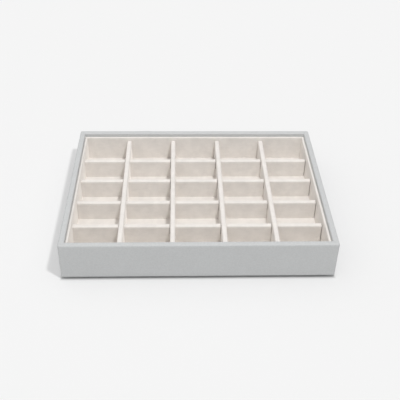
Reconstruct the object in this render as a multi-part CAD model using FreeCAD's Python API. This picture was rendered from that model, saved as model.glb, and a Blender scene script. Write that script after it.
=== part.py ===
import FreeCAD, Part
import os

# Open stackable jewellery tray: a low leatherette-covered box with a velvet-lined grid of compartments.
# Millimetres, +Z up. Origin at the centre of the underside, which stands on the table at z = 0.
# X runs along the width, and the front of the tray faces -Y.

# Overall size
WIDTH = 250.0
DEPTH = 180.0
HEIGHT = 41.0

# Materials
LEATHERETTE = 0.75
WALL_BOARD = 4.0
BASE_BOARD = 3.0
FLOOR_CARD = 2.4
FLOOR_VELVET = 0.7
LINER_THICK = 2.4
LINER_VELVET = 0.5
DIVIDER_THICK = 4.8
DIVIDER_VELVET = 0.8

# Heights above the table
WALL_FOOT = 3.0
LINER_TOP = 37.2
LONG_TOP = 33.2
CROSS_TOP = 29.9
SLOT_HEIGHT = 19.9

# Compartments
COLUMNS = 5
ROWS = 5

# Edges and fits
CORNER_R = 2.5
RIM_R = 1.35
LINER_R = 0.9
DIVIDER_R = 1.2
PLINTH_CORNER_R = 2.0
PLINTH_EDGE_R = 0.6
STACK_GAP = 0.5
FLOOR_GAP = 0.1
SLOT_GAP = 0.1
END_GAP = 0.3

# Derived sizes
RIM = WALL_BOARD + 2.0 * LEATHERETTE
CAVITY_W = WIDTH - 2.0 * RIM
CAVITY_D = DEPTH - 2.0 * RIM
BOARD_BOTTOM = WALL_FOOT + LEATHERETTE
BOARD_TOP = HEIGHT - LEATHERETTE
BASE_TOP = BOARD_BOTTOM + BASE_BOARD
CARD_TOP = BASE_TOP + FLOOR_CARD
FLOOR_TOP = CARD_TOP + FLOOR_VELVET
BASE_W = WIDTH - 2.0 * (LEATHERETTE + WALL_BOARD)
BASE_D = DEPTH - 2.0 * (LEATHERETTE + WALL_BOARD)
PLINTH_W = CAVITY_W - 2.0 * STACK_GAP
PLINTH_D = CAVITY_D - 2.0 * STACK_GAP
INSIDE_W = CAVITY_W - 2.0 * LINER_THICK
INSIDE_D = CAVITY_D - 2.0 * LINER_THICK
CELL_W = (INSIDE_W - (COLUMNS - 1) * DIVIDER_THICK) / COLUMNS
CELL_D = (INSIDE_D - (ROWS - 1) * DIVIDER_THICK) / ROWS
PITCH_X = CELL_W + DIVIDER_THICK
PITCH_Y = CELL_D + DIVIDER_THICK
SLOT_W = DIVIDER_THICK + 2.0 * SLOT_GAP


def box(x0, x1, y0, y1, z0, z1):
    """Box between two corners."""
    return Part.makeBox(x1 - x0, y1 - y0, z1 - z0, FreeCAD.Vector(x0, y0, z0))


def slab(width, depth, z0, z1, corner_r=0.0):
    """Box centred on the Z axis, its upright edges rounded."""
    solid = box(-width / 2.0, width / 2.0, -depth / 2.0, depth / 2.0, z0, z1)
    if corner_r == 0.0:
        return solid
    upright = [e for e in solid.Edges if e.BoundBox.ZLength > 0.9 * (z1 - z0)]
    return solid.makeFillet(corner_r, upright)


def round_level(solid, radius, z):
    """Round every edge that lies flat at one height."""
    flat = [e for e in solid.Edges if abs(e.BoundBox.ZMin - z) < 0.01 and abs(e.BoundBox.ZMax - z) < 0.01]
    return solid.makeFillet(radius, flat)


def ring(outer_w, outer_d, inner_w, inner_d, z0, z1, corner_r, top_r):
    """Four walls in one piece, rounded outside at the corners and along both edges of the top."""
    walls = slab(outer_w, outer_d, z0, z1, corner_r)
    walls = walls.cut(slab(inner_w, inner_d, z0 - 1.0, z1 + 1.0))
    return round_level(walls, top_r, z1)


def board_ring():
    """The four wall boards before they are parted."""
    outer_w = WIDTH - 2.0 * LEATHERETTE
    outer_d = DEPTH - 2.0 * LEATHERETTE
    corner_r = CORNER_R - LEATHERETTE
    top_r = RIM_R - LEATHERETTE
    return ring(outer_w, outer_d, BASE_W, BASE_D, BOARD_BOTTOM, BOARD_TOP, corner_r, top_r)


def wall_board(side):
    """One wall board: the front and back run full width, the left and right stand between them."""
    w = WIDTH / 2.0
    d = DEPTH / 2.0
    x = BASE_W / 2.0
    y = BASE_D / 2.0
    spans = {
        "front": box(-w, w, -d, -y, 0.0, HEIGHT),
        "back": box(-w, w, y, d, 0.0, HEIGHT),
        "left": box(-w, -x, -y, y, 0.0, HEIGHT),
        "right": box(x, w, -y, y, 0.0, HEIGHT),
    }
    return board_ring().common(spans[side])


def base_board():
    """Base, set between the wall boards."""
    return slab(BASE_W, BASE_D, BOARD_BOTTOM, BASE_TOP)


def plinth_board():
    """Board under the base that lifts the walls off the table and locates the tray on another one."""
    width = PLINTH_W - 2.0 * LEATHERETTE
    depth = PLINTH_D - 2.0 * LEATHERETTE
    return slab(width, depth, LEATHERETTE, BOARD_BOTTOM, PLINTH_CORNER_R - LEATHERETTE)


def plinth_cover():
    """Leatherette under the plinth board and turned up round its edge."""
    outer = slab(PLINTH_W, PLINTH_D, 0.0, BOARD_BOTTOM, PLINTH_CORNER_R)
    return round_level(outer, PLINTH_EDGE_R, 0.0).cut(plinth_board())


def leatherette_wrap():
    """Leatherette round the walls, over the rim, down inside to the base and turned under the walls."""
    skin = ring(WIDTH, DEPTH, CAVITY_W, CAVITY_D, WALL_FOOT, HEIGHT, CORNER_R, RIM_R)
    return skin.cut(board_ring()).cut(base_board())


def floor_card():
    """Card that carries the floor velvet."""
    return slab(CAVITY_W - 2.0 * FLOOR_GAP, CAVITY_D - 2.0 * FLOOR_GAP, BASE_TOP, CARD_TOP)


def floor_velvet():
    """Velvet on the floor card."""
    return slab(CAVITY_W - 2.0 * FLOOR_GAP, CAVITY_D - 2.0 * FLOOR_GAP, CARD_TOP, FLOOR_TOP)


def covered_card(length, thickness, top, velvet, edge_r):
    """Card standing on the floor along X, and the velvet folded over its top and down both faces."""
    half = length / 2.0
    out = thickness / 2.0
    card = box(-half, half, velvet - out, out - velvet, FLOOR_TOP, top - velvet)
    cover = box(-half, half, -out, out, FLOOR_TOP, top)
    ridges = [e for e in cover.Edges if e.BoundBox.XLength > 0.9 * length and e.BoundBox.ZMin > top - 0.01]
    return card, cover.makeFillet(edge_r, ridges).cut(card)


def turned(solid):
    """The same piece running front to back."""
    copy = solid.copy()
    copy.rotate(FreeCAD.Vector(0, 0, 0), FreeCAD.Vector(0, 0, 1), 90)
    return copy


def moved(solid, x, y):
    """The same piece shifted over the floor."""
    copy = solid.copy()
    copy.translate(FreeCAD.Vector(x, y, 0))
    return copy


def liners():
    """Card and velvet of the four liners, by side."""
    long_pair = covered_card(CAVITY_W, LINER_THICK, LINER_TOP, LINER_VELVET, LINER_R)
    short_pair = covered_card(INSIDE_D, LINER_THICK, LINER_TOP, LINER_VELVET, LINER_R)
    y = (CAVITY_D - LINER_THICK) / 2.0
    x = (CAVITY_W - LINER_THICK) / 2.0
    return {
        "front": [moved(s, 0.0, -y) for s in long_pair],
        "back": [moved(s, 0.0, y) for s in long_pair],
        "left": [moved(turned(s), -x, 0.0) for s in short_pair],
        "right": [moved(turned(s), x, 0.0) for s in short_pair],
    }


def centres(count, pitch):
    """Positions of the dividers between a row of compartments."""
    return [(i - (count - 2) / 2.0) * pitch for i in range(count - 1)]


def long_divider():
    """Card and velvet of a front-to-back divider, slotted from below over the cross dividers."""
    pair = covered_card(INSIDE_D - 2.0 * END_GAP, DIVIDER_THICK, LONG_TOP, DIVIDER_VELVET, DIVIDER_R)
    pair = [turned(s) for s in pair]
    for y in centres(ROWS, PITCH_Y):
        slot = box(-DIVIDER_THICK, DIVIDER_THICK, y - SLOT_W / 2.0, y + SLOT_W / 2.0, 0.0, SLOT_HEIGHT)
        pair = [s.cut(slot) for s in pair]
    return pair


def cross_divider():
    """Card and velvet of a left-to-right divider, slotted from above for the long dividers."""
    pair = covered_card(INSIDE_W - 2.0 * END_GAP, DIVIDER_THICK, CROSS_TOP, DIVIDER_VELVET, DIVIDER_R)
    foot = SLOT_HEIGHT - SLOT_GAP
    for x in centres(COLUMNS, PITCH_X):
        slot = box(x - SLOT_W / 2.0, x + SLOT_W / 2.0, -DIVIDER_THICK, DIVIDER_THICK, foot, HEIGHT)
        pair = [s.cut(slot) for s in pair]
    return pair


def save(node, solid):
    """Write one piece."""
    solid.exportStep("parts/" + node + ".step")


def main():
    """Write every piece of the tray."""
    os.makedirs("parts", exist_ok=True)
    save("base_board", base_board())
    save("plinth_board", plinth_board())
    save("plinth_cover", plinth_cover())
    save("leatherette_wrap", leatherette_wrap())
    save("floor_card", floor_card())
    save("floor_velvet", floor_velvet())
    for side in ("front", "back", "left", "right"):
        save("wall_board_" + side, wall_board(side))
    for side, (card, velvet) in liners().items():
        save("liner_card_" + side, card)
        save("liner_velvet_" + side, velvet)
    card, velvet = long_divider()
    for i, x in enumerate(centres(COLUMNS, PITCH_X), 1):
        save("long_divider_card_" + str(i), moved(card, x, 0.0))
        save("long_divider_velvet_" + str(i), moved(velvet, x, 0.0))
    card, velvet = cross_divider()
    for i, y in enumerate(centres(ROWS, PITCH_Y), 1):
        save("cross_divider_card_" + str(i), moved(card, 0.0, y))
        save("cross_divider_velvet_" + str(i), moved(velvet, 0.0, y))


main()
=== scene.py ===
"""Coverings, finishes and stage of an open jewellery tray with velvet-lined compartments."""

import math
from typing import NamedTuple

import bmesh
import bpy
from bpy.props import FloatProperty, FloatVectorProperty, PointerProperty
from bpy.types import Operator, Panel, PropertyGroup
from mathutils import Matrix, Vector, noise


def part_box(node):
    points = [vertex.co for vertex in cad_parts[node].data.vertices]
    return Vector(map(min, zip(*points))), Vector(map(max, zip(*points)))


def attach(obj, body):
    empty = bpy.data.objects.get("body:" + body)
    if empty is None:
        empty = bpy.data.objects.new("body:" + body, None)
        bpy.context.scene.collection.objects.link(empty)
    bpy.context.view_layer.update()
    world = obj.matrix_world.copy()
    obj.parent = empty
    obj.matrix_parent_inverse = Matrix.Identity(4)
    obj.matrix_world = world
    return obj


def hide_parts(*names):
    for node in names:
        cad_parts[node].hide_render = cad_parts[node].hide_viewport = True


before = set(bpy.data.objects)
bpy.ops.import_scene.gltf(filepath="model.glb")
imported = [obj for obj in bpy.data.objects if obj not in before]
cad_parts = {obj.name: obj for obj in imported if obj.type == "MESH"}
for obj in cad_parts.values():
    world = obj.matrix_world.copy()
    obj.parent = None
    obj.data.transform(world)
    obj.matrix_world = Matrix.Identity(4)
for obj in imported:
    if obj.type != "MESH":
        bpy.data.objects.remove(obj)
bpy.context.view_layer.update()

bl_info = {
    "name": "Jewellery Tray",
    "version": (1, 0, 0),
    "blender": (4, 5, 0),
    "location": "View3D > Sidebar > Tray",
    "description": "Covers the boards of a jewellery tray in leatherette and velvet",
    "category": "Object",
}

MM = 0.001
SIDES = ("front", "back", "left", "right")
DIVIDERS = (1, 2, 3, 4)

# Corners of the covered boards, read from the frame.
WALL_LOW, WALL_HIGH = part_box("leatherette_wrap")
PLINTH_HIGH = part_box("plinth_cover")[1]
FLOOR_LOW, FLOOR_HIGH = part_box("floor_velvet")
RIM = WALL_HIGH.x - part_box("liner_velvet_front")[1].x

# The dividers' slots, and how far the velvet tucks in below the top of the floor.
SLOT_HEIGHT = 19.9 * MM
SLOT_WIDTH = 5.0 * MM
FOOT_SINK = 0.12 * MM

# The velvet is cut a little short on the left of each crossing and at the right-hand ends, where a
# line of bare card shows, and meets its neighbour tightly on the other side.
BARE_CARD = 0.4 * MM
TIGHT = 0.07 * MM
END_REACH = 0.25 * MM

# How far a standing card leans out of line, and the length in millimetres over which that changes.
BOW = 0.10 * MM
BOW_LENGTH = 70.0

# The two leatherette coverings.
SMALLEST_CORNER = 0.3 * MM
SEAM = 0.7007
SEAM_FADE = 30.0
MITRE_DEPTH = 0.16 * MM
MITRE_HEIGHT = 1.6 * MM
MITRE_START = 0.6 * MM
MITRE_RUN_IN = 2.0 * MM
PLINTH_CORNER = 2.0 * MM
PLINTH_SLACK = 0.16 * MM
PLINTH_WAVINESS = 0.04 * MM
PLINTH_BAND = 40.0 * MM
PLINTH_EDGE = 8.0 * MM

# Sizes of the faces that the sheets are made of.
LEATHER_STEP = 2.5 * MM
RIM_STEP = 0.8 * MM
VELVET_STEP = 2.0 * MM
CARD_STEP = 2.4 * MM
CARD_TOP_STEP = 0.7 * MM
CARD_LENGTH_STEP = 2.2 * MM
INNER_STEP = 0.9 * MM
HIDDEN_STEP = 10.0 * MM
CORNER_STEPS = 8

# The stage: how far the floor reaches, in metres, how far outside the tray's walls the glow
# painted into it starts and is full, in millimetres, and the camera's sensor, in millimetres, and
# clipping, in metres.
FLOOR_REACH = 3.0
PAINTED_GLOW_EDGE = (-0.5, 1.5)
SENSOR_WIDTH = 36.0
NEAREST = 0.01
FARTHEST = 20.0

# A Mix node's colour sockets, which share their names with its number and vector sockets.
MIX_FIRST = 6
MIX_SECOND = 7
MIX_RESULT = 2


class TrayCovers(PropertyGroup):
    """Thicknesses and roundings of the coverings."""

    leatherette: FloatProperty(
        name="Leatherette",
        description="Thickness of the leatherette on the walls and the plinth",
        default=0.7 * MM,
        unit="LENGTH",
    )
    divider_velvet: FloatProperty(
        name="Divider Velvet",
        description="Thickness of the velvet on the dividers",
        default=0.76 * MM,
        unit="LENGTH",
    )
    floor_velvet: FloatProperty(
        name="Floor Velvet",
        description="Thickness of the velvet on the floor",
        default=0.66 * MM,
        unit="LENGTH",
    )
    liner_velvet: FloatProperty(
        name="Liner Velvet",
        description="Thickness of the velvet on the liners",
        default=0.46 * MM,
        unit="LENGTH",
    )
    corner_rounding: FloatProperty(
        name="Corner Rounding",
        description="Radius of the tray's upright outer corners",
        default=1.8 * MM,
        unit="LENGTH",
    )
    rim_rounding: FloatProperty(
        name="Rim Rounding",
        description="Radius along both edges of the rim",
        default=1.35 * MM,
        unit="LENGTH",
    )
    foot_rounding: FloatProperty(
        name="Foot Rounding",
        description="Radius along the lower edge of the walls and of the plinth",
        default=0.6 * MM,
        unit="LENGTH",
    )
    divider_rounding: FloatProperty(
        name="Divider Rounding",
        description="Radius of the velvet where it turns over a divider",
        default=1.35 * MM,
        unit="LENGTH",
    )
    liner_rounding: FloatProperty(
        name="Liner Rounding",
        description="Radius of the velvet where it turns over a liner",
        default=0.95 * MM,
        unit="LENGTH",
    )
    seam_lift: FloatProperty(
        name="Seam Lift",
        description="How far the lapped end of the leatherette strip stands proud at its seam",
        default=0.3 * MM,
        unit="LENGTH",
    )
    leather_waviness: FloatProperty(
        name="Leatherette Waviness",
        description="How far the leatherette strays from a true plane",
        default=0.05 * MM,
        unit="LENGTH",
    )
    velvet_waviness: FloatProperty(
        name="Velvet Waviness",
        description="How far the velvet strays from a true plane",
        default=0.13 * MM,
        unit="LENGTH",
    )


class TrayColours(PropertyGroup):
    """Base colours of the finishes."""

    leatherette: FloatVectorProperty(
        name="Leatherette",
        description="Colour of the leatherette",
        default=(0.583, 0.593, 0.594),
        subtype="COLOR",
        min=0.0,
        max=1.0,
    )
    velvet: FloatVectorProperty(
        name="Velvet",
        description="Colour of the velvet pile",
        default=(0.832, 0.795, 0.757),
        subtype="COLOR",
        min=0.0,
        max=1.0,
    )
    fibreboard: FloatVectorProperty(
        name="Fibreboard",
        description="Colour of the wall, base and plinth boards",
        default=(0.42, 0.29, 0.18),
        subtype="COLOR",
        min=0.0,
        max=1.0,
    )
    greyboard: FloatVectorProperty(
        name="Greyboard",
        description="Colour of the cards under the velvet",
        default=(0.38, 0.36, 0.33),
        subtype="COLOR",
        min=0.0,
        max=1.0,
    )
    floor: FloatVectorProperty(
        name="Studio Floor",
        description="Colour of the light table the tray stands on",
        default=(0.62, 0.62, 0.62),
        subtype="COLOR",
        min=0.0,
        max=1.0,
    )


class TrayStage(PropertyGroup):
    """Camera, lights and the glow painted into the floor."""

    eye: FloatVectorProperty(
        name="Eye",
        description="Where the camera stands",
        default=(-0.02012, -0.52652, 0.46057),
        subtype="XYZ",
        unit="LENGTH",
    )
    turn: FloatProperty(
        name="Turn",
        description="How far the camera is turned to the right of straight ahead",
        default=0.04144,
        subtype="ANGLE",
    )
    tilt: FloatProperty(
        name="Tilt",
        description="How far the camera looks down",
        default=0.59608,
        subtype="ANGLE",
    )
    roll: FloatProperty(
        name="Roll",
        description="How far the camera leans to its left",
        default=0.02319,
        subtype="ANGLE",
    )
    lens: FloatProperty(
        name="Lens",
        description="Focal length of the camera",
        default=61.01,
        unit="CAMERA",
    )
    drop: FloatProperty(
        name="Drop",
        description="How far the picture is taken below the camera's axis, in picture widths",
        default=-0.175,
    )
    lamp: FloatVectorProperty(
        name="Lamp",
        description="Where the key light hangs",
        default=(0.105, -0.255, 0.641),
        subtype="XYZ",
        unit="LENGTH",
    )
    lamp_radius: FloatProperty(
        name="Lamp Radius",
        description="Radius of the key light, which softens its shadows",
        default=0.025,
        unit="LENGTH",
    )
    lamp_power: FloatProperty(
        name="Lamp Power",
        description="Strength of the key light",
        default=15.2,
        unit="POWER",
    )
    # Painted glow: a light colour given off by the floor round the tray, not a lamp, which
    # lightens the tray's shadow on the floor.
    table_glow: FloatProperty(
        name="Painted Floor Glow",
        description="Light that comes up through the table round the tray",
        default=0.243,
        min=0.0,
    )
    sky_low: FloatProperty(
        name="Sky Low",
        description="Brightness of the studio at the height of the floor",
        default=0.2,
        min=0.0,
    )
    sky_high: FloatProperty(
        name="Sky High",
        description="Brightness of the studio overhead",
        default=0.945,
        min=0.0,
    )
    sky_lean: FloatProperty(
        name="Sky Lean",
        description="How much brighter the studio is to the left of the tray than behind it",
        default=0.15,
    )


class Field:
    """A value that varies from place to place, and the sums written on it."""

    def __init__(self, nodes, socket):
        self.nodes = nodes
        self.socket = socket

    def sum(self, operation, *values):
        """One Math node on the values."""
        return self.nodes.node("ShaderNodeMath", {"operation": operation}, dict(enumerate(values)))

    def __add__(self, other):
        return self.sum("ADD", self, other)

    def __radd__(self, other):
        return self.sum("ADD", other, self)

    def __sub__(self, other):
        return self.sum("SUBTRACT", self, other)

    def __rsub__(self, other):
        return self.sum("SUBTRACT", other, self)

    def __mul__(self, other):
        return self.sum("MULTIPLY", self, other)

    def __rmul__(self, other):
        return self.sum("MULTIPLY", other, self)

    def __truediv__(self, other):
        return self.sum("DIVIDE", self, other)

    def __rtruediv__(self, other):
        return self.sum("DIVIDE", other, self)

    def __abs__(self):
        return self.sum("ABSOLUTE", self)

    def at_least(self, other):
        """The larger of this value and another."""
        return self.sum("MAXIMUM", self, other)


class Nodes:
    """A tree of shader nodes, filled one node at a time."""

    def __init__(self, tree):
        self.tree = tree

    def node(self, kind, settings, inputs, output=0):
        """Any node: its settings first, then the values or links of its sockets."""
        made = self.tree.nodes.new(kind)
        for key, value in settings.items():
            setattr(made, key, value)
        self.fill(made, inputs)
        return Field(self, made.outputs[output])

    def fill(self, made, inputs):
        """Give a node's sockets their values or links."""
        for key, value in inputs.items():
            if isinstance(value, Field):
                self.tree.links.new(value.socket, made.inputs[key])
            else:
                made.inputs[key].default_value = value

    def split(self, vector):
        """The three parts of a vector."""
        first = self.node("ShaderNodeSeparateXYZ", {}, {"Vector": vector}, "X")
        return [Field(self, output) for output in first.socket.node.outputs]


class Finish(Nodes):
    """The material of one finish, built node by node round a Principled shader."""

    def __init__(self, name):
        self.material = bpy.data.materials.new(name)
        self.material.use_nodes = True
        super().__init__(self.material.node_tree)
        self.shader = self.tree.nodes["Principled BSDF"]
        place = self.node("ShaderNodeTexCoord", {}, {}, "Object")
        scale = {"operation": "SCALE"}
        self.place = self.node("ShaderNodeVectorMath", scale, {0: place, "Scale": 1.0 / MM})

    def cloud(self, size, detail=2.0, stretch=(1.0, 1.0, 1.0)):
        """Soft noise from 0 to 1 that changes over size millimetres."""
        place = self.place
        if stretch != (1.0, 1.0, 1.0):
            multiply = {"operation": "MULTIPLY"}
            place = self.node("ShaderNodeVectorMath", multiply, {0: self.place, 1: stretch})
        inputs = {"Vector": place, "Scale": 1.0 / size, "Detail": detail, "Roughness": 0.55}
        return self.node("ShaderNodeTexNoise", {}, inputs)

    def pebbles(self, size):
        """Distance from the nearest crease between pebbles of one size, in pebbles."""
        inputs = {"Vector": self.place, "Scale": 1.0 / size}
        return self.node("ShaderNodeTexVoronoi", {"feature": "DISTANCE_TO_EDGE"}, inputs)

    def ramp(self, value, low, high):
        """The value stretched so that low becomes 0 and high becomes 1."""
        inputs = {"Value": value, "From Min": low, "From Max": high}
        return self.node("ShaderNodeMapRange", {"clamp": True}, inputs)

    def mixed(self, factor, first, second):
        """One colour turning into another."""
        inputs = {0: factor, MIX_FIRST: first, MIX_SECOND: second}
        return self.node("ShaderNodeMix", {"data_type": "RGBA"}, inputs, MIX_RESULT)

    def bump(self, height, depth):
        """Relief of that depth in millimetres."""
        inputs = {"Height": height, "Distance": depth * MM, "Strength": 1.0}
        return self.node("ShaderNodeBump", {}, inputs)

    def put(self, **inputs):
        """Fill the shader's own sockets, named with underscores for spaces."""
        self.fill(self.shader, {key.replace("_", " "): value for key, value in inputs.items()})


def shade(colour, factor):
    """A colour made lighter or darker."""
    return tuple(min(1.0, c * factor) for c in colour) + (1.0,)


def velvet_finish(colour):
    """Short cream pile with brushed patches and a soft sheen."""
    finish = Finish("velvet_finish")
    patches = finish.ramp(finish.cloud(9.0, 2.0, (1.0, 0.6, 0.8)), 0.34, 0.66)
    strokes = finish.ramp(finish.cloud(2.6, 2.0, (0.5, 1.0, 1.0)), 0.32, 0.68)
    pile = finish.cloud(0.38, 2.0)
    nap = patches * 0.5 + strokes * 0.22 + pile * 0.28
    finish.put(
        Base_Color=finish.mixed(nap, shade(colour, 0.91), shade(colour, 1.05)),
        Roughness=0.86 + pile * 0.12,
        Normal=finish.bump(pile * 0.7 + strokes * 0.3, 0.09),
        Specular_IOR_Level=0.12,
        Sheen_Weight=0.8,
        Sheen_Roughness=0.38,
        Sheen_Tint=shade(colour, 1.15),
    )
    return finish.material


def leatherette_finish(colour):
    """Matt coated cloth with a fine pebbled grain."""
    finish = Finish("leatherette_finish")
    creases = finish.ramp(finish.pebbles(0.62), 0.0, 0.22)
    wrinkles = finish.ramp(finish.cloud(1.6, 3.0), 0.3, 0.7)
    drift = finish.cloud(30.0, 2.0)
    pores = finish.cloud(0.2, 1.0)
    tone = creases * 0.3 + wrinkles * 0.45 + drift * 0.25
    finish.put(
        Base_Color=finish.mixed(tone, shade(colour, 0.90), shade(colour, 1.08)),
        Roughness=0.60 - creases * 0.07 + wrinkles * 0.06,
        Normal=finish.bump(creases * 0.6 + wrinkles * 0.3 + pores * 0.1, 0.035),
        Specular_IOR_Level=0.32,
    )
    return finish.material


def fibreboard_finish(colour):
    """Pressed brown fibres, a little darker where they clump."""
    finish = Finish("fibreboard_finish")
    fibres = finish.cloud(0.7, 4.0, (0.25, 1.0, 1.0))
    clumps = finish.cloud(6.0, 2.0)
    tone = fibres * 0.7 + clumps * 0.3
    finish.put(
        Base_Color=finish.mixed(tone, shade(colour, 0.78), shade(colour, 1.2)),
        Roughness=0.75 + fibres * 0.15,
        Normal=finish.bump(fibres, 0.05),
    )
    return finish.material


def greyboard_finish(colour):
    """Recycled grey card with dark and light flecks."""
    finish = Finish("greyboard_finish")
    flecks = finish.ramp(finish.cloud(0.8, 3.0, (0.5, 1.0, 1.0)), 0.35, 0.75)
    finish.put(
        Base_Color=finish.mixed(flecks, shade(colour, 0.82), shade(colour, 1.15)),
        Roughness=0.88 + flecks * 0.08,
        Normal=finish.bump(flecks, 0.04),
    )
    return finish.material


FINISHES = {
    "leatherette": leatherette_finish,
    "velvet": velvet_finish,
    "board": fibreboard_finish,
    "greyboard": greyboard_finish,
}


def finish_for(slot, scene):
    """The material of a slot, made the first time it is asked for."""
    colours = scene.tray_colours
    colour = colours.fibreboard if slot == "board" else getattr(colours, slot)
    made = bpy.data.materials.get(FINISHES[slot].__name__)
    return made or FINISHES[slot](tuple(colour))


def drift(point, size, seed):
    """Smooth number from about -1 to 1 that changes over size millimetres."""
    shift = Vector((seed * 7.31, seed * 3.77, seed * 5.13))
    return noise.noise(point / (size * MM) + shift)


def waves(point, depth, seed):
    """Long and short waves of a sheet that is glued down nearly flat."""
    return depth * (0.7 * drift(point, 26.0, seed) + 0.3 * drift(point, 7.0, seed + 0.5))


def steps(start, end, size):
    """Even steps from start to end, none longer than size."""
    rounding = 1e-6
    count = max(1, math.ceil(abs(end - start) / size - rounding))
    return [start + (end - start) * i / count for i in range(count + 1)]


def joined(*stretches):
    """Stretches of points end to end, each shared end kept once."""
    points = list(stretches[0])
    for more in stretches[1:]:
        points.extend(more[1:])
    return points


def sheet_of(name, rows, closed=False, cut=lambda i, j: False):
    """Mesh object with a face between each four neighbours, but for those that are cut away."""
    build = bmesh.new()
    grid = [[build.verts.new(point) for point in row] for row in rows]
    for i in range(len(grid) if closed else len(grid) - 1):
        here = grid[i]
        there = grid[(i + 1) % len(grid)]
        for j in range(len(here) - 1):
            if not cut(i, j):
                build.faces.new((here[j], there[j], there[j + 1], here[j + 1]))
    unused = [v for v in build.verts if not v.link_faces]
    bmesh.ops.delete(build, geom=unused, context="VERTS")
    mesh = bpy.data.meshes.new(name)
    build.to_mesh(mesh)
    build.free()
    piece = bpy.data.objects.new(name, mesh)
    bpy.context.scene.collection.objects.link(piece)
    return piece


def thicken(piece, thickness):
    """Give a sheet its thickness on the side of the board, with its cut edges closed."""
    solid = piece.modifiers.new("thickness", "SOLIDIFY")
    solid.thickness = thickness
    solid.offset = -1.0
    solid.use_even_offset = True
    bpy.context.view_layer.update()
    graph = bpy.context.evaluated_depsgraph_get()
    thin = piece.data
    piece.data = bpy.data.meshes.new_from_object(piece.evaluated_get(graph))
    piece.modifiers.clear()
    bpy.data.meshes.remove(thin)
    piece.data.name = piece.name
    piece.data.shade_smooth()
    piece.data.set_sharp_from_angle(angle=math.radians(38.0))


def settle(piece, slot, scene, *nodes):
    """Finish a piece, set it on the frame and let it stand for its boards' coverings."""
    piece.data.materials.clear()
    piece.data.materials.append(finish_for(slot, scene))
    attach(piece, "root")
    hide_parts(*nodes)


def arc(centre, radius, start, end, count):
    """Points round an arc with their outward normals, angles in degrees."""
    points = []
    for i in range(count + 1):
        angle = math.radians(start + (end - start) * i / count)
        out = (math.cos(angle), math.sin(angle))
        points.append((centre[0] + radius * out[0], centre[1] + radius * out[1], *out))
    return points


def run(first, last, out, size):
    """Points along a straight line with one outward normal."""
    length = math.dist(first, last)
    return [
        (first[0] + (last[0] - first[0]) * t, first[1] + (last[1] - first[1]) * t, *out)
        for t in steps(0.0, 1.0, size / length)
    ]


def side_fractions():
    """Places along one side of a ring: even ones, some close to the corners, some at the seam."""
    evenly = [i / 40.0 for i in range(2, 39)]
    corner = (0.0, 0.004, 0.012, 0.03)
    seam = (0.70, SEAM, 0.705, 0.715)
    return sorted({*corner, *(1.0 - place for place in corner), *evenly, *seam})


def ring_rows(half_x, half_y, corner, profile, shape):
    """Rows of points round a rectangle with rounded corners.

    The profile's points are (distance in from the outer face, height, outward normal). shape gives
    how far a point of the covering stands out from the board's true face. It is told the place
    along the ring: the side, and 0 to 1 along that side or 1 to 2 round the corner at its end.
    """
    corners = ((1, -1, -90.0), (1, 1, 0.0), (-1, 1, 90.0), (-1, -1, 180.0))
    turns = [i / CORNER_STEPS for i in range(1, CORNER_STEPS)]
    rows = []
    for side, (turn_x, turn_y, start) in enumerate(corners):
        back_x, back_y, _ = corners[side - 1]
        straight = [(t, start) for t in side_fractions()]
        rounded = [(1.0 + t, start + 90.0 * t) for t in turns]
        for t, heading in (*straight, *rounded):
            face = Vector((math.cos(math.radians(heading)), math.sin(math.radians(heading))))
            row = []
            for inward, height, out, up in profile:
                radius = max(corner - inward, SMALLEST_CORNER)
                reach_x = half_x - inward - radius
                reach_y = half_y - inward - radius
                first = Vector((back_x * reach_x, back_y * reach_y))
                last = Vector((turn_x * reach_x, turn_y * reach_y))
                spot = first.lerp(last, min(t, 1.0)) + face * radius
                point = Vector((spot.x, spot.y, height))
                away = Vector((face.x * out, face.y * out, up))
                row.append(point + away * shape(point, side, t, inward))
            rows.append(row)
    return rows


class TRAY_OT_wall_covering(Operator):
    """Wrap the walls in one leatherette strip, lapped at the back and mitred at the corners"""

    bl_idname = "tray.wall_covering"
    bl_label = "Wall Covering"

    def execute(self, context):
        covers = context.scene.tray_covers
        foot = WALL_LOW.z
        top = WALL_HIGH.z
        base_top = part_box("base_board")[1].z
        low = covers.foot_rounding
        high = covers.rim_rounding
        shown = 5.0 * MM
        profile = joined(
            run((RIM, foot), (low, foot), (0.0, -1.0), LEATHER_STEP),
            arc_in(low, foot + low, low, -90.0, -180.0, 4),
            run((0.0, foot + low), (0.0, top - high), (1.0, 0.0), LEATHER_STEP),
            arc_in(high, top - high, high, 180.0, 90.0, 6),
            run((high, top), (RIM - high, top), (0.0, 1.0), RIM_STEP),
            arc_in(RIM - high, top - high, high, 90.0, 0.0, 6),
            run((RIM, top - high), (RIM, top - shown), (-1.0, 0.0), INNER_STEP),
            run((RIM, top - shown), (RIM, base_top), (-1.0, 0.0), HIDDEN_STEP),
        )

        def shape(point, side, t, inward):
            out = waves(point, covers.leather_waviness, 1.0)
            at_back = side == 2
            if at_back and t >= SEAM:
                out += covers.seam_lift * math.exp(-(t - SEAM) * SEAM_FADE)
            mid_corner = t == 1.5
            if mid_corner and point.z > top - MITRE_HEIGHT:
                out -= MITRE_DEPTH * min(1.0, max(0.0, (inward - MITRE_START) / MITRE_RUN_IN))
            return out

        rows = ring_rows(WALL_HIGH.x, WALL_HIGH.y, covers.corner_rounding, profile, shape)
        piece = sheet_of("wall_covering", rows, closed=True)
        thicken(piece, covers.leatherette)
        settle(piece, "leatherette", context.scene, "leatherette_wrap")
        return {"FINISHED"}


def arc_in(inward, height, radius, start, end, count):
    """Arc in a wall's section, where distances run inwards and normals outwards."""
    return [(a, b, -out, up) for a, b, out, up in arc((inward, height), radius, start, end, count)]


def length_of(profile):
    """Length of the cloth along a profile."""
    return sum(math.dist(a[:2], b[:2]) for a, b in zip(profile, profile[1:]))


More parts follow.
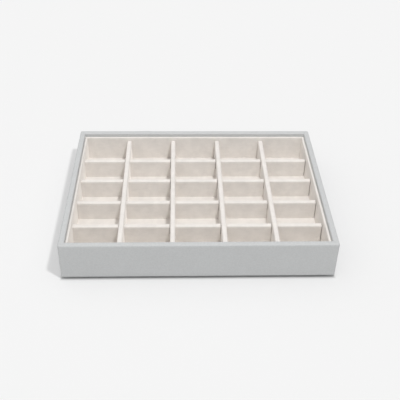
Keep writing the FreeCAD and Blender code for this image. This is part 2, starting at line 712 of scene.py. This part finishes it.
class TRAY_OT_plinth_covering(Operator):
    """Cover the plinth's underside and turn the leatherette up round its edge"""

    bl_idname = "tray.plinth_covering"
    bl_label = "Plinth Covering"

    def execute(self, context):
        covers = context.scene.tray_covers
        foot = covers.foot_rounding
        profile = joined(
            run((PLINTH_BAND, 0.0), (PLINTH_EDGE, 0.0), (0.0, -1.0), PLINTH_EDGE),
            run((PLINTH_EDGE, 0.0), (foot, 0.0), (0.0, -1.0), 2.0 * MM),
            arc_in(foot, foot, foot, -90.0, -180.0, 5),
            run((0.0, foot), (0.0, PLINTH_HIGH.z), (1.0, 0.0), RIM_STEP),
        )

        def shape(point, side, t, inward):
            return -abs(waves(point, PLINTH_WAVINESS, 2.0)) if inward < PLINTH_BAND else 0.0

        half_x = PLINTH_HIGH.x - PLINTH_SLACK
        half_y = PLINTH_HIGH.y - PLINTH_SLACK
        rows = ring_rows(half_x, half_y, PLINTH_CORNER, profile, shape)
        piece = sheet_of("plinth_covering", rows, closed=True)
        fill_middle(piece)
        thicken(piece, covers.leatherette)
        settle(piece, "leatherette", context.scene, "plinth_cover")
        return {"FINISHED"}


def fill_middle(piece):
    """Close the flat middle of the plinth's covering."""
    build = bmesh.new()
    build.from_mesh(piece.data)
    near_floor = 0.1 * MM
    rim = [e for e in build.edges if e.is_boundary and all(v.co.z < near_floor for v in e.verts)]
    if not rim:
        raise RuntimeError("The plinth's covering has no opening to close")
    bmesh.ops.contextual_create(build, geom=rim)
    middle = max(build.faces, key=lambda face: face.calc_area())
    if middle.normal.z > 0.0:
        middle.normal_flip()
    build.to_mesh(piece.data)
    build.free()


class TRAY_OT_floor_velvet(Operator):
    """Lay the velvet on the floor card"""

    bl_idname = "tray.floor_velvet"
    bl_label = "Floor Velvet"

    def execute(self, context):
        covers = context.scene.tray_covers
        rows = []
        for x in steps(FLOOR_LOW.x, FLOOR_HIGH.x, VELVET_STEP):
            row = []
            for y in steps(FLOOR_LOW.y, FLOOR_HIGH.y, VELVET_STEP):
                point = Vector((x, y, FLOOR_HIGH.z))
                point.z -= 0.5 * covers.velvet_waviness * (1.0 + drift(point, 11.0, 3.0))
                row.append(point)
            rows.append(row)
        piece = sheet_of("floor_velvet_cloth", rows)
        thicken(piece, covers.floor_velvet - covers.velvet_waviness)
        settle(piece, "velvet", context.scene, "floor_velvet")
        return {"FINISHED"}


def fold_profile(half, foot, top, radius, slot):
    """Cloth folded over a card's top, from foot to foot, with a point where the slots end."""
    levels = (foot, slot, top - radius) if slot else (foot, top - radius)
    side = joined(*(steps(a, b, CARD_STEP) for a, b in zip(levels, levels[1:])))
    up = [(-half, z, -1.0, 0.0) for z in side]
    crown = arc((-half + radius, top - radius), radius, 180.0, 90.0, 5)
    flat = run((-half + radius, top), (half - radius, top), (0.0, 1.0), CARD_TOP_STEP)
    over = arc((half - radius, top - radius), radius, 90.0, 0.0, 5)
    down = [(half, z, 1.0, 0.0) for z in reversed(side)]
    return joined(up, crown, flat, over, down)


class Slits(NamedTuple):
    """Where a divider's velvet is slit for the dividers that cross it."""

    middles: tuple = ()
    before: float = SLOT_WIDTH / 2.0
    after: float = SLOT_WIDTH / 2.0
    opens: str = "above"

    def edges(self):
        """Both edges of every slit."""
        return [place for m in self.middles for place in (m - self.before, m + self.after)]

    def holds(self, along, level):
        """Whether a spot on the velvet is cut away."""
        inside = any(-self.before < along - m < self.after for m in self.middles)
        return inside and (level > SLOT_HEIGHT) == (self.opens == "above")

    def area(self, foot, wide):
        """How much velvet the slits take, from a strip that is so wide round its card."""
        below = 2.0 * (SLOT_HEIGHT - foot)
        long = wide - below if self.opens == "above" else below
        return len(self.middles) * (self.before + self.after) * long


def cover_card(kind, which, thickness, radius, scene, ends=(0.0, 0.0), slits=Slits()):
    """Velvet folded over a standing card, slit where other dividers pass.

    The ends are how far the velvet stops short of the card, or reaches past it if negative.
    """
    node = f"{kind}_velvet_{which}"
    wavy = scene.tray_covers.velvet_waviness
    low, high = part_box(node)
    along_x = high.x - low.x > high.y - low.y
    length, width = (0, 1) if along_x else (1, 0)
    start = low[length] + ends[0]
    end = high[length] - ends[1]
    middle = (low[width] + high[width]) / 2.0
    half = (high[width] - low[width]) / 2.0
    foot = low.z - FOOT_SINK
    profile = fold_profile(half, foot, high.z, radius, SLOT_HEIGHT if slits.middles else None)
    edges = sorted({start, end, *slits.edges()})
    stations = joined(*(steps(a, b, CARD_LENGTH_STEP) for a, b in zip(edges, edges[1:])))
    seed = 4.0 + sum(low) * 91.0
    rows = []
    for along in stations:
        bow = BOW * drift(Vector((along, middle, 0.0)), BOW_LENGTH, seed)
        row = []
        for across, height, out, up in profile:
            point = Vector((along, middle + across, height))
            proud = 0.5 * waves(point, wavy, seed) - 0.3 * wavy
            sideways = across + out * proud + bow * (height - foot) / (high.z - foot)
            lifted = height + up * proud
            if along_x:
                row.append(Vector((along, middle + sideways, lifted)))
            else:
                row.append(Vector((middle - sideways, along, lifted)))
        rows.append(row)

    def cut(i, j):
        centre = (stations[i] + stations[i + 1]) / 2.0
        level = (profile[j][1] + profile[j + 1][1]) / 2.0
        return slits.holds(centre, level)

    piece = sheet_of(f"{kind}_{which}_cloth", rows, cut=cut)
    thicken(piece, thickness)
    settle(piece, "velvet", scene, node)
    wide = length_of(profile)
    area = (end - start) * wide - slits.area(foot, wide)


class TRAY_OT_liners(Operator):
    """Fold velvet over the four liner cards inside the walls"""

    bl_idname = "tray.liners"
    bl_label = "Liners"

    def execute(self, context):
        covers = context.scene.tray_covers
        for side in SIDES:
            cover_card("liner", side, covers.liner_velvet, covers.liner_rounding, context.scene)
        return {"FINISHED"}


def middles(kind, axis):
    """Where the dividers of one kind stand."""
    boxes = [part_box(f"{kind}_divider_velvet_{i}") for i in DIVIDERS]
    return tuple((low[axis] + high[axis]) / 2.0 for low, high in boxes)


class TRAY_OT_long_dividers(Operator):
    """Fold velvet over the front-to-back dividers, slit from below"""

    bl_idname = "tray.long_dividers"
    bl_label = "Long Dividers"

    def execute(self, context):
        covers = context.scene.tray_covers
        velvet = covers.divider_velvet
        rounding = covers.divider_rounding
        slits = Slits(middles("cross", 1), opens="below")
        for i in DIVIDERS:
            cover_card("long_divider", i, velvet, rounding, context.scene, slits=slits)
        return {"FINISHED"}


class TRAY_OT_cross_dividers(Operator):
    """Fold velvet over the left-to-right dividers, slit from above"""

    bl_idname = "tray.cross_dividers"
    bl_label = "Cross Dividers"

    def execute(self, context):
        covers = context.scene.tray_covers
        velvet = covers.divider_velvet
        rounding = covers.divider_rounding
        half = SLOT_WIDTH / 2.0
        slits = Slits(middles("long", 0), half + BARE_CARD, half - TIGHT)
        ends = (-END_REACH, BARE_CARD)
        for i in DIVIDERS:
            cover_card("cross_divider", i, velvet, rounding, context.scene, ends, slits)
        return {"FINISHED"}


class TRAY_OT_boards(Operator):
    """Give the boards and cards under the coverings their finishes"""

    bl_idname = "tray.boards"
    bl_label = "Boards and Cards"

    def execute(self, context):
        slots = {"board": "board", "card": "greyboard"}
        for word, slot in slots.items():
            found = [node for name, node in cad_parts.items() if word in name]
            if not found:
                raise RuntimeError(f"The frame has no {word} to finish")
            for node in found:
                node.data.materials.clear()
                node.data.materials.append(finish_for(slot, context.scene))
        return {"FINISHED"}


class TRAY_OT_stage(Operator):
    """Set up the floor, the lights and the camera"""

    bl_idname = "tray.stage"
    bl_label = "Stage"

    def execute(self, context):
        scene = context.scene
        self.lay_floor(scene)
        self.light(scene)
        self.aim_camera(scene)
        scene.view_settings.view_transform = "Standard"
        return {"FINISHED"}

    def lay_floor(self, scene):
        ends = (-FLOOR_REACH, FLOOR_REACH)
        rows = [[Vector((x, y, 0.0)) for y in reversed(ends)] for x in ends]
        floor = sheet_of("studio_floor", rows)
        if floor.data.polygons[0].normal.z < 0.0:
            floor.data.flip_normals()
        finish = Finish("studio_floor_finish")
        # The floor is painted with a glow outside the tray's walls and none under them, which
        # lightens the tray's shadow on the floor; the floor is no lamp.
        x, y, _ = finish.split(finish.place)
        beyond = (abs(x) - WALL_HIGH.x / MM).at_least(abs(y) - WALL_HIGH.y / MM)
        lit = finish.ramp(beyond, *PAINTED_GLOW_EDGE)
        glow = scene.tray_stage.table_glow
        finish.put(
            Base_Color=(*scene.tray_colours.floor, 1.0),
            Roughness=1.0,
            Specular_IOR_Level=0.0,
            Emission_Color=finish.mixed(lit, (0.0, 0.0, 0.0, 1.0), (glow, glow, glow, 1.0)),
            Emission_Strength=1.0,
        )
        floor.data.materials.append(finish.material)

    def light(self, scene):
        stage = scene.tray_stage
        point = bpy.data.lights.new("key_light", "POINT")
        point.energy = stage.lamp_power
        point.shadow_soft_size = stage.lamp_radius
        point.use_nodes = True
        nodes = Nodes(point.node_tree)
        toward = nodes.node("ShaderNodeTexCoord", {}, {}, "Normal")
        even = nodes.node("ShaderNodeLightFalloff", {}, {"Strength": 1.0}, "Constant")
        nodes.fill(nodes.tree.nodes["Emission"], {"Strength": even / abs(nodes.split(toward)[2])})
        lamp = bpy.data.objects.new("key_light", point)
        lamp.location = stage.lamp
        scene.collection.objects.link(lamp)
        scene.world = self.studio_air(stage)

    def studio_air(self, stage):
        """Even light from all round, stronger from overhead and from the left."""
        world = bpy.data.worlds.new("studio_air")
        world.use_nodes = True
        nodes = Nodes(world.node_tree)
        toward = nodes.node("ShaderNodeTexCoord", {}, {}, "Generated")
        x, _, z = nodes.split(toward)
        range_of_sky = {"Value": z, "To Min": stage.sky_low, "To Max": stage.sky_high}
        climb = nodes.node("ShaderNodeMapRange", {"clamp": True}, range_of_sky)
        strength = (climb - x * stage.sky_lean).at_least(0.0)
        air = {"Color": (1.0, 1.0, 1.0, 1.0), "Strength": strength}
        nodes.fill(nodes.tree.nodes["Background"], air)
        return world

    def aim_camera(self, scene):
        stage = scene.tray_stage
        ahead = Vector(
            (
                math.sin(stage.turn) * math.cos(stage.tilt),
                math.cos(stage.turn) * math.cos(stage.tilt),
                -math.sin(stage.tilt),
            )
        )
        level = Vector((math.cos(stage.turn), -math.sin(stage.turn), 0.0))
        above = level.cross(ahead)
        right = level * math.cos(stage.roll) + above * math.sin(stage.roll)
        up = above * math.cos(stage.roll) - level * math.sin(stage.roll)
        camera = bpy.data.cameras.new("studio_camera")
        camera.lens = stage.lens
        camera.sensor_width = SENSOR_WIDTH
        camera.shift_y = stage.drop
        camera.clip_start = NEAREST
        camera.clip_end = FARTHEST
        stand = bpy.data.objects.new("studio_camera", camera)
        turned = Matrix((right, up, -ahead)).transposed().to_4x4()
        stand.matrix_world = Matrix.Translation(Vector(stage.eye)) @ turned
        scene.collection.objects.link(stand)
        scene.camera = stand


class TRAY_PT_build(Panel):
    """The tray's pieces, sizes and colours"""

    bl_idname = "TRAY_PT_build"
    bl_label = "Jewellery Tray"
    bl_space_type = "VIEW_3D"
    bl_region_type = "UI"
    bl_category = "Tray"

    def draw(self, context):
        layout = self.layout
        for group in GROUPS:
            box = layout.box()
            settings = getattr(context.scene, group)
            for name in settings.bl_rna.properties.keys():
                if name not in {"rna_type", "name"}:
                    box.prop(settings, name)
        for operator in OPERATORS:
            layout.operator(operator.bl_idname)


GROUPS = {
    "tray_covers": TrayCovers,
    "tray_colours": TrayColours,
    "tray_stage": TrayStage,
}
OPERATORS = (
    TRAY_OT_boards,
    TRAY_OT_wall_covering,
    TRAY_OT_plinth_covering,
    TRAY_OT_floor_velvet,
    TRAY_OT_liners,
    TRAY_OT_long_dividers,
    TRAY_OT_cross_dividers,
    TRAY_OT_stage,
)
CLASSES = (*GROUPS.values(), *OPERATORS, TRAY_PT_build)


def register():
    """Register every class and hang the settings on the scene."""
    for made in CLASSES:
        bpy.utils.register_class(made)
    for name, group in GROUPS.items():
        setattr(bpy.types.Scene, name, PointerProperty(type=group))


def unregister():
    """Undo register."""
    for name in GROUPS:
        delattr(bpy.types.Scene, name)
    for made in reversed(CLASSES):
        bpy.utils.unregister_class(made)


def main():
    """Build the whole tray."""
    register()
    for operator in OPERATORS:
        group, name = operator.bl_idname.split(".")
        getattr(getattr(bpy.ops, group), name)()


if __name__ == "__main__":
    main()
